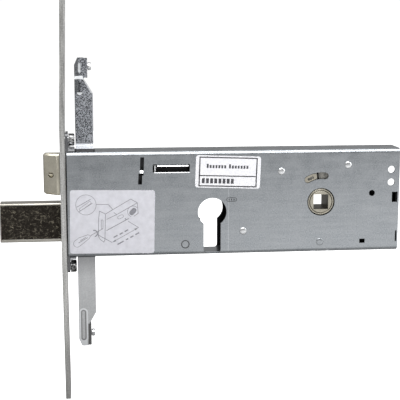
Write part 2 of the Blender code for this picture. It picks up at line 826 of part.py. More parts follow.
def add_lug(arm, face_y, screw, end_z):
    """The lug bent back from an arm's head, drilled for the rod screw at (y, z)."""
    y, z = screw
    side = 1 if end_z > 0 else -1
    low, high = sorted((z - side * 6.6, end_z - side * 0.4))
    unite(arm, box((14.5, face_y + 0.2, low), (16.9, y + 3.8, high)))
    cut(arm, prism(circle(screw, ROD_SCREW_RADIUS + 0.25, 12), "X", 13, 18))


def rib_groove(start_z, end_z, face_y):
    """A cutter for a rib pressed into an arm: a groove that narrows from the near face to its floor."""
    start, end = (ARM_RIB_X, start_z), (ARM_RIB_X, end_z)
    outer = obround(start, end, 2 * ARM_RIB_RADIUS - ARM_RIB_FLOOR_RADIUS, 6)
    floor = obround(start, end, ARM_RIB_FLOOR_RADIUS, 6)
    return loft(outer, floor, "Y", face_y - ARM_RIB_DEPTH, face_y + ARM_RIB_DEPTH)


def pin_hole(z):
    return prism(circle((ARM_PIN_X, z), ARM_PIN_RADIUS + 0.2), "Y", -9, 9)


def make_upper_arm(material):
    """Its strap leans towards the shell on the way in, so its leg runs between the shell and the bolts."""
    near = UPPER_ARM_LAYER[0]
    face_y, head_y = UPPER_FACE_Y, UPPER_FACE_Y + UPPER_HEAD_SETBACK
    joggle = arc((face_y - 3, 36.0), 3, 0, -45, 3)
    leave_y, leave_z = joggle[-1]
    head = [(head_y, UPPER_END_Z + 2), (head_y, 75.2), (face_y, 73.4)]
    path = head + joggle + [(near, leave_z - leave_y + near), (near, 5.0)]
    leg = [(14.0, 22.0), (74.8, 22.0), (74.8, 28.9), (20.6, 28.9), (20.6, 25.8), (14.0, 25.8)]
    arm = make_strap("upper_rod_arm", UPPER_END_Z, path, 22.4, leg, UPPER_ARM_LAYER, material)
    add_lug(arm, head_y, UPPER_SCREW, UPPER_END_Z)
    cut(arm, rib_groove(65.5, 71.0, face_y), rib_groove(77.8, 82.0, head_y), pin_hole(UPPER_PIN_Z))
    return arm


def make_lower_arm(material):
    """Its strap steps to the far side just under the case, and rises there past the deadbolt to its leg."""
    far, face_y = LOWER_ARM_LAYER[0], LOWER_FACE_Y
    path = [(far, 40.0), (far, -32.85), (face_y, -33.25), (face_y, LOWER_END_Z - 2)]
    leg = [(14.0, 17.6), (14.0, 5.0), (21.0, 5.0), (25.0, 9.6), (74.8, 9.6), (74.8, 17.6)]
    arm = make_strap("lower_rod_arm", LOWER_END_Z, path, 17.2, leg, LOWER_ARM_LAYER, material)
    add_lug(arm, face_y, LOWER_SCREW, LOWER_END_Z)
    cut(arm, rib_groove(-67.8, -83.8, face_y), pin_hole(LOWER_PIN_Z))
    return arm


def make_arm_pin(name, z, low, high, material):
    profile = [
        (0, low),
        (ARM_PIN_RADIUS, low),
        (ARM_PIN_RADIUS, high),
        (0, high),
    ]
    return piece(name, material, turned(profile, "Y", (ARM_PIN_X, z), SMALL_STEPS))


def make_rod_screw(name, place, material):
    """The cheese-head screw that clamps a rod in an arm's head."""
    y, z = place
    profile = [
        (0, 10.4),
        (ROD_SCREW_RADIUS - 0.5, 10.4),
        (ROD_SCREW_RADIUS, 11.0),
        (ROD_SCREW_RADIUS, 17.2),
        (2.35, 17.2),
        (2.35, 18.6),
        (2.0, 19.1),
        (0, 19.1),
    ]
    screw = piece(name, material, turned(profile, "X", place, SMALL_STEPS))
    cut(screw, box((18.3, y - 3, z - 0.35), (20, y + 3, z + 0.35)))
    return screw


# ---------------------------------------------------------------- labels


def make_label(name, centre, width, height, degrees, material):
    """A paper label on the shell, a little askew."""
    x, z = centre
    outline = rounded_rectangle(x - width / 2, z - height / 2, x + width / 2, z + height / 2, 1.5)
    return piece(
        name, material, prism(turned_outline(outline, centre, degrees), "Y", -HALF - 0.17, -HALF - 0.05)
    )


# ---------------------------------------------------------------- assembly


def build():
    zinc = make_material("zinc_plated_sheet", (0.56, 0.58, 0.60), 0.38, 1.0)
    brushed = make_material("brushed_faceplate_steel", (0.60, 0.60, 0.59), 0.32, 1.0)
    dark_steel = make_material("speckled_bolt_steel", (0.10, 0.09, 0.08), 0.45, 1.0)
    nickel = make_material("satin_nickel", (0.52, 0.50, 0.44), 0.36, 1.0)
    bright = make_material("bright_zinc_fastener", (0.72, 0.73, 0.74), 0.25, 1.0)
    spring_steel = make_material("spring_steel", (0.30, 0.30, 0.31), 0.35, 1.0)
    white_label = make_material("white_paper_label", (0.86, 0.86, 0.88), 0.6, 0.0)
    grey_label = make_material("grey_film_label", (0.66, 0.66, 0.70), 0.5, 0.0)

    make_faceplate(brushed)
    make_flange(zinc)
    make_case_shell(zinc)
    make_back_plate(zinc)
    for place, z in FLANGE_SCREWS_Z.items():
        make_faceplate_screw(f"faceplate_screw_{place}", z, bright)
        make_weld_nut(f"weld_nut_{place}", z, bright)
    for name, place in PILLARS.items():
        make_pillar(name, place, bright)
    make_spring_post(bright)
    make_label("control_label", (99.4, 18.5), 39.2, 19.4, -2.1, white_label)
    make_label("instruction_label", (30.2, -10.4), 50.2, 38.2, -1.0, grey_label)

    latch_axis = joint_frame("latch_frame", 0, 0, LATCH_Z)
    latch = make_latch(nickel)
    latch_pin = make_latch_pin(bright)
    slide = make_draw_slide(zinc)
    rivets = [
        make_link_rivet(f"slide_rivet_{name}", place, 2.3, 5.3, bright)
        for name, place in SLIDE_RIVETS.items()
    ]
    carry(latch_axis, latch, latch_pin, slide, *rivets)

    follower_axis = joint_frame("follower_frame", FOLLOWER_X, 0, FOLLOWER_Z)
    carry(follower_axis, make_follower(nickel))
    make_follower_spring(spring_steel)

    bolt_axis = joint_frame("deadbolt_frame", 0, 0, BOLT_Z)
    bolt_rivets = [
        make_link_rivet(f"carriage_rivet_{name}", place, -1.6, 5.4, bright)
        for name, place in BOLT_RIVETS.items()
    ]
    carry(bolt_axis, make_deadbolt(dark_steel), make_carriage(zinc), *bolt_rivets)

    upper_axis = joint_frame("upper_arm_frame", (ARM_LEFT + ARM_RIGHT) / 2, 0, 0)
    carry(
        upper_axis,
        make_upper_arm(zinc),
        make_arm_pin("upper_arm_pin", UPPER_PIN_Z, -7.6, -0.7, bright),
        make_rod_screw("upper_rod_screw", UPPER_SCREW, bright),
    )
    lower_axis = joint_frame("lower_arm_frame", (ARM_LEFT + ARM_RIGHT) / 2, 0, 0)
    carry(
        lower_axis,
        make_lower_arm(zinc),
        make_arm_pin("lower_arm_pin", LOWER_PIN_Z, 0.7, 7.6, bright),
        make_rod_screw("lower_rod_screw", LOWER_SCREW, bright),
    )

    tumbler_axis = joint_frame("tumbler_frame", TUMBLER_PIVOT[0], 0, TUMBLER_PIVOT[1])
    carry(tumbler_axis, make_tumbler(zinc))
    make_tumbler_spring(spring_steel)


def main():
    for obj in list(bpy.data.objects):
        bpy.data.objects.remove(obj, do_unlink=True)
    build()


main()
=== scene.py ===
"""Looks for the mortise lock: finishes for the CAD pieces, printed and stamped detail, lights, camera."""

import json
from math import atan2, cos, hypot, pi, radians, sin

import bmesh
import bpy
from mathutils import Matrix, Vector


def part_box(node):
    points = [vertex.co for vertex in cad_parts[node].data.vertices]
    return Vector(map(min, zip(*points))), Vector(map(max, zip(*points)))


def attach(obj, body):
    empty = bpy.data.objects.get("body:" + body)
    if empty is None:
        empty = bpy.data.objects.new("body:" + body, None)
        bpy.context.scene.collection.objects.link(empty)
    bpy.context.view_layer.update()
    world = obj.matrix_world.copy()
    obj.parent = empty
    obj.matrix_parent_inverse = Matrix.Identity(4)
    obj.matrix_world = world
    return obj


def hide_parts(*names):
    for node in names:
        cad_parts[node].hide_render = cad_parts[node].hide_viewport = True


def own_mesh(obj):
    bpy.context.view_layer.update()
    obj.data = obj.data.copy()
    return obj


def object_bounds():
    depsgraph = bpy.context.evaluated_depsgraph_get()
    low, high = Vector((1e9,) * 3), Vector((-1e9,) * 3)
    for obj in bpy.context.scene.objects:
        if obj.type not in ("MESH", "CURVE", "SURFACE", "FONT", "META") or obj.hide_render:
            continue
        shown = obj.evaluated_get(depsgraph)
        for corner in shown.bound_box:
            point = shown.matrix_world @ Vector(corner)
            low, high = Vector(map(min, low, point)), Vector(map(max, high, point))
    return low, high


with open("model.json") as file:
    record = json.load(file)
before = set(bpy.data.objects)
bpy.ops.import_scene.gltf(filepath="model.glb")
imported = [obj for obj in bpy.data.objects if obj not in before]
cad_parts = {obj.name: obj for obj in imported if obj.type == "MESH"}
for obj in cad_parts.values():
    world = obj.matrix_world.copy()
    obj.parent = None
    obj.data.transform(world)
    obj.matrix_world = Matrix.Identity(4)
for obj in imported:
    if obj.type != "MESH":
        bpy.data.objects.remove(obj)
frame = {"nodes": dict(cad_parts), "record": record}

CAD_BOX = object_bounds()
NODES = frame["nodes"]
MM = 0.001

CASE_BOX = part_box("case_shell")
SHEET = 1.2 * MM
NEAR_FACE = CASE_BOX[0].y
HALF_INNER = -NEAR_FACE - SHEET + 0.02 * MM
HALF_HEIGHT_INNER = CASE_BOX[1].z - SHEET + 0.02 * MM
SCRIBED_X = 99.8 * MM
# painted shade, and a painted highlight, that the finishes below mix over base colours
SHADE = (0.035, 0.035, 0.037)
GLINT = (0.92, 0.94, 0.96)
RIB_X = 12.2 * MM
NUT_HEIGHT = 38.35 * MM
HUB_GROOVE = (6.65 * MM, 7.15 * MM)
INDICATOR_FROM = 8.3 * MM
HUB_SQUARE_HALF = 4.52 * MM
FLANGE_HIDDEN = 31 * MM

# in mm, the heights between which the arms' ribs and the upper arm's diagonal edge run
UPPER_ARM_RIBS = ((65.5, 71.0), (77.8, 82.0))
LOWER_ARM_RIB = (-83.8, -67.8)
UPPER_ARM_DIAGONAL = (65, 73.4)

# in mm, like the ledges' own shapes
LEDGE_THICKNESS = 0.3
JOINTS = {joint["name"]: joint for joint in frame["record"]["behaviour"]["joints"]}
FOLLOWER = JOINTS["follower_turn"]["pos_m"]


# ---------------------------------------------------------------- materials


class Shader:
    """A Principled material with short calls for the nodes that feed it."""

    def __init__(self, name, metallic=1.0, roughness=0.4):
        self.material = bpy.data.materials.new(name)
        self.material.use_nodes = True
        self.nodes = self.material.node_tree.nodes
        self.links = self.material.node_tree.links
        self.bsdf = self.nodes["Principled BSDF"]
        self.bsdf.inputs["Metallic"].default_value = metallic
        self.bsdf.inputs["Roughness"].default_value = roughness
        self.coord = self.nodes.new("ShaderNodeTexCoord").outputs["Object"]

    def put(self, socket, value):
        if isinstance(value, bpy.types.NodeSocket):
            self.links.new(value, socket)
        else:
            socket.default_value = value

    def stretched(self, scale):
        """Object coordinates scaled by a different amount on each axis."""
        node = self.nodes.new("ShaderNodeMapping")
        self.put(node.inputs["Vector"], self.coord)
        node.inputs["Scale"].default_value = scale
        return node.outputs["Vector"]

    def noise(self, scale, detail=3.0, roughness=0.55, vector=None, distortion=0.0):
        node = self.nodes.new("ShaderNodeTexNoise")
        self.put(node.inputs["Vector"], vector or self.coord)
        node.inputs["Scale"].default_value = scale
        node.inputs["Detail"].default_value = detail
        node.inputs["Roughness"].default_value = roughness
        node.inputs["Distortion"].default_value = distortion
        return node.outputs["Fac"]

    def cells(self, scale, vector=None):
        node = self.nodes.new("ShaderNodeTexVoronoi")
        self.put(node.inputs["Vector"], vector or self.coord)
        node.inputs["Scale"].default_value = scale
        return node.outputs["Distance"]

    def ramp(self, value, stops):
        """A colour ramp; stops are (position, colour) with a grey number or an (r, g, b)."""
        node = self.nodes.new("ShaderNodeValToRGB")
        elements = node.color_ramp.elements
        while len(elements) < len(stops):
            elements.new(0.5)
        for element, (position, colour) in zip(elements, stops):
            element.position = position
            grey = isinstance(colour, (int, float))
            element.color = (colour, colour, colour, 1.0) if grey else (*colour, 1.0)
        self.put(node.inputs["Fac"], value)
        return node.outputs["Color"]

    def span(self, value, low, high, new_low, new_high):
        node = self.nodes.new("ShaderNodeMapRange")
        self.put(node.inputs["Value"], value)
        node.inputs["From Min"].default_value = low
        node.inputs["From Max"].default_value = high
        node.inputs["To Min"].default_value = new_low
        node.inputs["To Max"].default_value = new_high
        return node.outputs["Result"]

    def math(self, operation, a, b):
        node = self.nodes.new("ShaderNodeMath")
        node.operation = operation
        self.put(node.inputs[0], a)
        self.put(node.inputs[1], b)
        return node.outputs[0]

    def mix(self, a, b, factor, blend="MIX"):
        node = self.nodes.new("ShaderNodeMix")
        node.data_type = "RGBA"
        node.blend_type = blend
        self.put(node.inputs["Factor"], factor)
        for socket, value in ((node.inputs["A"], a), (node.inputs["B"], b)):
            self.put(socket, value if isinstance(value, bpy.types.NodeSocket) else (*value, 1.0))
        return node.outputs["Result"]

    def axis(self, name):
        node = self.nodes.new("ShaderNodeSeparateXYZ")
        self.put(node.inputs["Vector"], self.coord)
        return node.outputs[name]

    def between(self, value, low, high):
        """1 where the value lies between low and high, else 0."""
        above = self.math("GREATER_THAN", value, low)
        return self.math("MULTIPLY", above, self.math("LESS_THAN", value, high))

    def both(self, *masks):
        """1 where every mask is 1."""
        total = masks[0]
        for mask in masks[1:]:
            total = self.math("MULTIPLY", total, mask)
        return total

    def from_rib(self, low, high):
        """The distance in the sheet's plane to the middle line of an arm's rib, between two heights in mm."""
        aside = self.math("SUBTRACT", self.axis("X"), RIB_X)
        height = self.math("ABSOLUTE", self.math("SUBTRACT", self.axis("Z"), (low + high) / 2 * MM), 0.0)
        beyond = self.math("MAXIMUM", self.math("SUBTRACT", height, (high - low) / 2 * MM), 0.0)
        squares = self.math("ADD", self.math("MULTIPLY", aside, aside), self.math("MULTIPLY", beyond, beyond))
        return self.math("SQRT", squares, 0.0)

    def tint(self, colour, mask, amount=1.0):
        """Mixes a colour over the base colour that is already linked."""
        mask = mask if amount == 1.0 else self.math("MULTIPLY", mask, amount)
        base = self.bsdf.inputs["Base Color"].links[0].from_socket
        self.colour(self.mix(base, colour, mask))

    def bump(self, height, distance, strength=1.0):
        node = self.nodes.new("ShaderNodeBump")
        node.inputs["Strength"].default_value = strength
        node.inputs["Distance"].default_value = distance * MM
        self.put(node.inputs["Height"], height)
        self.put(self.bsdf.inputs["Normal"], node.outputs["Normal"])

    def colour(self, value):
        self.put(self.bsdf.inputs["Base Color"], value)

    def roughness(self, value):
        self.put(self.bsdf.inputs["Roughness"], value)


def weighted(s, *parts):
    """The sum of (value, weight) pairs."""
    total = None
    for value, weight in parts:
        term = s.math("MULTIPLY", value, weight)
        total = term if total is None else s.math("ADD", total, term)
    return total


def zinc_sheet(name, dark, light, grain=1.0, rolling=(0.08, 1.0, 1.0), rough=(0.36, 0.50), relief=0.012):
    """Zinc-plated sheet: fine grain over a soft mottle, with a faint rolling direction."""
    s = Shader(name)
    fine = s.noise(1300.0, 2.0, 0.6)
    mottle = s.noise(110.0, 4.0, 0.6)
    rolled = s.noise(420.0, 2.0, 0.5, s.stretched(rolling))
    mixed = weighted(s, (fine, 0.45 * grain), (mottle, 0.35), (rolled, 0.2))
    s.colour(s.ramp(mixed, [(0.30, dark), (0.72, light)]))
    s.roughness(s.span(mottle, 0.3, 0.7, *rough))
    s.bump(mixed, relief)
    return s


def inside_mask(s):
    """1 within the case, between its plates and walls; 0 outside and on the bottom wall's inner face."""
    x, y, z = (s.axis(name) for name in "XYZ")
    within = [
        s.math("LESS_THAN", s.math("ABSOLUTE", y, 0.0), HALF_INNER),
        s.between(z, 0.35 * MM - HALF_HEIGHT_INNER, HALF_HEIGHT_INNER),
        s.between(x, CASE_BOX[0].x + MM, CASE_BOX[1].x - 0.6 * MM),
    ]
    return s.both(*within)


def case_zinc_with_painted_shade():
    """The case's zinc: painted shade inside the case, and with one faint scribed line down its near face."""
    s = zinc_sheet("case_zinc_painted_shade", (0.23, 0.25, 0.27), (0.46, 0.48, 0.50), 1.3, rough=(0.24, 0.34), relief=0.003)
    scribed = s.between(s.axis("X"), SCRIBED_X - 0.2 * MM, SCRIBED_X + 0.2 * MM)
    scribed = s.math("MULTIPLY", scribed, s.math("LESS_THAN", s.axis("Z"), 9 * MM))
    s.tint((0.80, 0.82, 0.84), s.math("MULTIPLY", scribed, 0.30))
    # painted shade on the case's inner faces
    s.tint(SHADE, inside_mask(s))
    return s.material


def flange_zinc_with_painted_shade():
    """The flange: zinc above and below the case, with painted shade where the case hides it and on its part
    beside the faceplate.
    """
    s = zinc_sheet("flange_zinc_painted_shade", (0.42, 0.43, 0.45), (0.64, 0.65, 0.67))
    # painted shade where x is under 5 mm, on the part beside the faceplate
    s.tint((0.10, 0.10, 0.105), s.math("LESS_THAN", s.axis("X"), 5.0 * MM), 0.8)
    # painted shade where the case hides the flange
    s.tint(SHADE, s.between(s.axis("Z"), -FLANGE_HIDDEN, FLANGE_HIDDEN))
    return s.material


def nickel(name, dark, light):
    s = Shader(name, 1.0, 0.36)
    fine = s.noise(1100.0, 3.0)
    soft = s.noise(160.0, 3.0)
    s.colour(s.ramp(weighted(s, (fine, 0.5), (soft, 0.5)), [(0.3, dark), (0.7, light)]))
    s.roughness(s.span(soft, 0.3, 0.7, 0.32, 0.44))
    s.bump(fine, 0.01)
    return s


def follower_nickel_with_painted_shade():
    """The hub: nickel with a dark ring at its groove, mottled painted shade on the indicator behind the
    curved slot inside the case, and brown within its square hole.
    """
    s = nickel("follower_nickel_painted_shade", (0.36, 0.335, 0.275), (0.56, 0.53, 0.45))
    x = s.math("SUBTRACT", s.axis("X"), FOLLOWER[0])
    z = s.math("SUBTRACT", s.axis("Z"), FOLLOWER[2])
    squares = s.math("ADD", s.math("MULTIPLY", x, x), s.math("MULTIPLY", z, z))
    radius = s.math("SQRT", squares, 0.0)
    s.tint((0.10, 0.09, 0.07), s.between(radius, *HUB_GROOVE), 0.8)
    far = s.math("GREATER_THAN", radius, INDICATOR_FROM)
    behind = s.both(far, s.math("GREATER_THAN", s.axis("Y"), -8.4 * MM))
    # mottled painted shade on the indicator inside the case
    mottled_pattern = s.ramp(s.noise(420.0, 4.0, 0.7), [(0.35, (0.09, 0.09, 0.085)), (0.65, (0.34, 0.33, 0.30))])
    s.tint(mottled_pattern, behind)
    edge = HUB_SQUARE_HALF
    s.tint((0.12, 0.105, 0.08), s.both(s.between(x, -edge, edge), s.between(z, -edge, edge)))
    return s.material


def bolt_finish():
    """The deadbolt: dark speckled panels between machined rims and a plain top."""
    s = Shader("speckled_bolt", 1.0, 0.42)
    z, y = s.axis("Z"), s.math("ABSOLUTE", s.axis("Y"), 0.0)
    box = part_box("deadbolt")
    panel = s.both(
        s.between(y, box[1].y - 0.7 * MM, box[1].y - 0.3 * MM),
        s.between(z, box[0].z + 1.6 * MM, box[1].z - 0.9 * MM),
    )
    fleck = s.noise(620.0, 5.0, 0.72, s.stretched((0.75, 1.0, 1.0)), 1.2)
    stops = [(0.46, (0.028, 0.024, 0.020)), (0.56, (0.055, 0.049, 0.040)), (0.70, (0.33, 0.30, 0.23))]
    dark = s.ramp(fleck, stops)
    ground = s.noise(700.0, 3.0, 0.6, s.stretched((0.06, 1.0, 1.0)))
    steel = s.ramp(ground, [(0.3, (0.36, 0.34, 0.30)), (0.7, (0.56, 0.54, 0.49))])
    s.colour(s.mix(steel, dark, panel))
    s.roughness(s.span(panel, 0.0, 1.0, 0.36, 0.62))
    s.bump(fleck, 0.03)
    return s.material


def upper_arm_zinc_with_painted_light():
    """Hot-dip galvanised upper arm with a fine bright spangle, on a base painted dark as the dark reflection
    it shows; painted highlights and shade at its edges, ribs, kink and foot, and painted shade within the
    case.
    """
    s = Shader("galvanised_arm_painted_light", 1.0, 0.45)
    spangle = s.cells(1500.0)
    fine = s.noise(1900.0, 3.0, 0.7)
    mixed = weighted(s, (spangle, 0.55), (fine, 0.6))
    # a base painted dark, as the dark reflection the arm shows
    stops = [(0.40, (0.03, 0.032, 0.035)), (0.52, (0.10, 0.105, 0.115)), (0.64, (0.50, 0.52, 0.56))]
    s.colour(s.ramp(mixed, stops))
    x, z = s.axis("X"), s.axis("Z")
    foot, head = (height * MM for height in UPPER_ARM_DIAGONAL)
    # painted shade on the left part above the diagonal's foot and on the left edge, and a painted highlight
    # on the right edge
    left = s.both(s.math("LESS_THAN", x, 11.6 * MM), s.math("GREATER_THAN", z, foot))
    s.tint((0.12, 0.125, 0.13), left, 0.75)
    s.tint((0.10, 0.105, 0.11), s.math("LESS_THAN", x, 9.75 * MM), 0.6)
    s.tint((0.60, 0.62, 0.66), s.math("GREATER_THAN", x, 19.3 * MM), 0.7)
    lower_rib, upper_rib = (s.from_rib(*heights) for heights in UPPER_ARM_RIBS)
    # painted shade along the lower rib with a painted highlight at its foot, and painted highlights on the
    # upper rib, the kink and the diagonal edge
    s.tint(SHADE, s.math("LESS_THAN", lower_rib, 0.6 * MM), 0.75)
    s.tint(GLINT, s.both(s.math("LESS_THAN", lower_rib, 1.5 * MM), s.math("LESS_THAN", z, 65.6 * MM)))
    s.tint(GLINT, s.math("LESS_THAN", upper_rib, 0.75 * MM), 0.9)
    s.tint(GLINT, s.both(s.between(z, head, 75.2 * MM), s.math("LESS_THAN", x, 14.3 * MM)))
    diagonal = s.math("ADD", x, s.math("MULTIPLY", z, 0.57))
    s.tint(GLINT, s.both(s.between(diagonal, 56.0 * MM, 57.3 * MM), s.between(z, foot, head)), 0.8)
    # painted shade on the foot just above the case, and within the case
    s.tint((0.34, 0.35, 0.37), s.math("LESS_THAN", z, 36.0 * MM), 0.8)
    s.tint(SHADE, s.math("LESS_THAN", z, 32.4 * MM))
    s.roughness(s.span(fine, 0.3, 0.7, 0.36, 0.50))
    s.bump(mixed, 0.02)
    return s.material


def lower_arm_zinc_with_painted_light():
    """The smoother lower arm, grained along its length, on a base painted lighter than the upper arm's as the
    light reflection it shows; painted shade towards and within the case, round its rib and on its lug, and
    painted highlights round its rib and at its lower end.
    """
    # a base painted lighter than the upper arm's, as the light reflection this arm shows
    s = zinc_sheet(
        "smooth_arm_painted_light", (0.50, 0.51, 0.52), (0.72, 0.73, 0.74), 1.2, (1.0, 1.0, 0.06), (0.30, 0.42)
    )
    x, z = s.axis("X"), s.axis("Z")
    # painted shade under the case, deeper towards it
    s.tint((0.16, 0.16, 0.17), s.span(z, -46 * MM, -34 * MM, 0.0, 0.5))
    rib = s.from_rib(*LOWER_ARM_RIB)
    # painted shade and a painted highlight round the rib
    s.tint((0.16, 0.16, 0.16), s.between(rib, 0.9 * MM, 1.5 * MM), 0.7)
    s.tint(GLINT, s.between(rib, 1.7 * MM, 2.7 * MM))
    # a painted highlight at the lower end, and painted shade on the lug at the lower right
    s.tint(GLINT, s.both(s.math("LESS_THAN", z, -85.6 * MM), s.math("LESS_THAN", x, 14.4 * MM)))
    s.tint((0.17, 0.17, 0.17), s.both(s.math("GREATER_THAN", x, 14.9 * MM), s.math("LESS_THAN", z, -75 * MM)))
    # painted shade within the case
    s.tint(SHADE, s.math("GREATER_THAN", z, -31.4 * MM))
    return s.material


def make_materials():
    made = {}
    made["case"] = case_zinc_with_painted_shade()
    # near-black zinc: painted shade for the parts inside the case, the gap round the front rivet and the
    # stamped mark
    made["inner"] = zinc_sheet("inner_zinc_painted_shade", (0.05, 0.05, 0.052), (0.12, 0.12, 0.125)).material
    made["upper_arm"] = upper_arm_zinc_with_painted_light()
    made["lower_arm"] = lower_arm_zinc_with_painted_light()
    made["flange"] = flange_zinc_with_painted_shade()
    made["bolt"] = bolt_finish()
    made["nickel"] = nickel("satin_nickel", (0.58, 0.545, 0.445), (0.78, 0.745, 0.635)).material
    made["follower"] = follower_nickel_with_painted_shade()

    s = Shader("brushed_faceplate", 1.0, 0.35)
    along = s.noise(900.0, 3.0, 0.6, s.stretched((1.0, 1.0, 0.05)))
    fine = s.noise(1200.0, 2.0)
    mixed = weighted(s, (along, 0.55), (fine, 0.45))
    s.colour(s.ramp(mixed, [(0.32, (0.34, 0.34, 0.33)), (0.66, (0.80, 0.80, 0.78))]))
    s.roughness(s.span(along, 0.3, 0.7, 0.28, 0.42))
    s.bump(along, 0.01)
    made["faceplate"] = s.material

    s = Shader("bright_zinc", 1.0, 0.25)
    fine = s.noise(1300.0, 3.0)
    s.colour(s.ramp(fine, [(0.3, (0.60, 0.61, 0.62)), (0.7, (0.86, 0.87, 0.88))]))
    s.roughness(s.span(fine, 0.3, 0.7, 0.20, 0.34))
    s.bump(fine, 0.015)
    made["bright"] = s.material

    s = Shader("nut_zinc_painted_shade", 1.0, 0.3)
    mottled_pattern = s.noise(650.0, 4.0, 0.7)
    stops = [(0.42, (0.05, 0.05, 0.05)), (0.53, (0.20, 0.20, 0.20)), (0.64, (0.75, 0.76, 0.76))]
    s.colour(s.ramp(mottled_pattern, stops))
    # painted shade where the nut's round side turns up and down, more than 2.7 mm from its middle
    from_middle = s.math("SUBTRACT", s.math("ABSOLUTE", s.axis("Z"), 0.0), NUT_HEIGHT)
    s.tint(SHADE, s.math("GREATER_THAN", s.math("ABSOLUTE", from_middle, 0.0), 2.7 * MM), 0.85)
    s.roughness(s.span(mottled_pattern, 0.3, 0.7, 0.22, 0.40))
    s.bump(mottled_pattern, 0.04)
    made["nut"] = s.material

    s = Shader("spring_wire", 1.0, 0.35)
    s.colour(s.ramp(s.noise(800.0), [(0.3, (0.20, 0.20, 0.21)), (0.7, (0.36, 0.36, 0.37))]))
    made["spring"] = s.material

    s = Shader("white_paper", 0.0, 0.6)
    s.colour(s.ramp(s.noise(900.0, 3.0), [(0.3, (0.74, 0.74, 0.77)), (0.7, (0.84, 0.84, 0.87))]))
    s.bump(s.noise(1500.0, 2.0), 0.01)
    made["white_label"] = s.material

    s = Shader("silver_film", 0.0, 0.45)
    s.colour(s.ramp(s.noise(300.0, 3.0), [(0.3, (0.54, 0.54, 0.58)), (0.7, (0.62, 0.62, 0.665))]))
    s.bump(s.noise(500.0, 3.0), 0.01)
    made["grey_label"] = s.material

    s = Shader("label_ink", 0.0, 0.6)
    s.colour(s.ramp(s.noise(1500.0, 2.0), [(0.3, (0.03, 0.03, 0.035)), (0.7, (0.08, 0.08, 0.09))]))
    made["ink"] = s.material

    s = Shader("label_line", 0.0, 0.6)
    s.colour(s.ramp(s.noise(1500.0, 2.0), [(0.3, (0.17, 0.17, 0.19)), (0.7, (0.27, 0.27, 0.30))]))
    made["fine_ink"] = s.material
    return made


FINISH = {
    "faceplate": "faceplate",
    "mounting_flange": "flange",
    "case_shell": "case",
    "case_back_plate": "case",
    "control_label": "white_label",
    "instruction_label": "grey_label",
    "latch_bolt": "nickel",
    "latch_pin": "nickel",
    "follower_hub": "follower",
    "follower_spring": "spring",
    "tumbler_spring": "spring",
    "deadbolt": "bolt",
    # the parts inside the case take the near-black finish of painted shade
    "bolt_carriage": "inner",
    "draw_slide": "inner",
    "tumbler": "inner",
    "weld_nut_upper": "nut",
    "weld_nut_lower": "nut",
    "pillar_front_lower": "case",
    "upper_rod_arm": "upper_arm",
    "lower_rod_arm": "lower_arm",
}
EDGE = {
    "case_shell": 0.22,
    "case_back_plate": 0.22,
    "faceplate": 0.3,
    "upper_rod_arm": 0.3,
    "lower_rod_arm": 0.3,
}
EDGE_ELSEWHERE = 0.12


def finish_node(node, material, edge):
    """Assigns the finish, and adds modifiers that weld the CAD facets and round the edges a little."""
    mesh = node.data
    mesh.materials.clear()
    mesh.materials.append(material)
    if "custom_normal" in mesh.attributes:
        mesh.attributes.remove(mesh.attributes["custom_normal"])
    mesh.polygons.foreach_set("use_smooth", [True] * len(mesh.polygons))
    weld = node.modifiers.new("weld", "WELD")
    weld.merge_threshold = 2e-6
    flat = node.modifiers.new("planar", "DECIMATE")
    flat.decimate_type = "DISSOLVE"
    flat.angle_limit = radians(0.5)
    if edge:
        bevel = node.modifiers.new("edges", "BEVEL")
        bevel.width = edge * MM
        bevel.segments = 2
        bevel.limit_method = "ANGLE"
        bevel.angle_limit = radians(38)
        bevel.use_clamp_overlap = True
    normals = node.modifiers.new("normals", "WEIGHTED_NORMAL")
    normals.weight = 50
    normals.keep_sharp = True


def finish_nodes(made):
    for name, node in NODES.items():
        finish_node(node, made[FINISH.get(name, "bright")], EDGE.get(name, EDGE_ELSEWHERE))


# ---------------------------------------------------------------- printed and stamped detail


def arc(centre, radius, start, end, steps=24):
    """Points along an arc, angles in degrees from +X towards +Z."""
    turn = [radians(start + (end - start) * i / steps) for i in range(steps + 1)]
    return [(centre[0] + radius * cos(a), centre[1] + radius * sin(a)) for a in turn]


def obround(start, end, radius, steps=8):
    """The outline of a slot with round ends between two centres."""
    along = atan2(end[1] - start[1], end[0] - start[0]) * 180 / pi
    round_end = arc(end, radius, along - 90, along + 90, steps)
    return round_end + arc(start, radius, along + 90, along + 270, steps)


def add_plate(bm, outline, low, high):
    """A thin closed plate: an (x, z) outline between two depths in y."""
    front = [bm.verts.new((x, low, z)) for x, z in outline]
    back = [bm.verts.new((x, high, z)) for x, z in outline]
    bm.faces.new(front)
    bm.faces.new(back[::-1])
    for i in range(len(outline)):
        bm.faces.new((front[i - 1], front[i], back[i], back[i - 1]))


def stroke_outline(points, width, closed):
    """The mitred outline of a line of this width, as one loop, or as an outer and an inner loop if closed."""
    count = len(points)
    sides = []
    for i, point in enumerate(points):
        before = points[i - 1] if i or closed else None
        after = points[(i + 1) % count] if i < count - 1 or closed else None
        normals = []
        for a, b in ((before, point), (point, after)):
            if a and b:
                length = hypot(b[0] - a[0], b[1] - a[1])
                normals.append(((a[1] - b[1]) / length, (b[0] - a[0]) / length))
        nx, nz = (sum(n[k] for n in normals) for k in (0, 1))
        scale = width / 2 * len(normals) / max(nx**2 + nz**2, 0.6)
        sides.append((nx * scale, nz * scale))
    left = [(p[0] + n[0], p[1] + n[1]) for p, n in zip(points, sides)]
    right = [(p[0] - n[0], p[1] - n[1]) for p, n in zip(points, sides)]
    return left, right


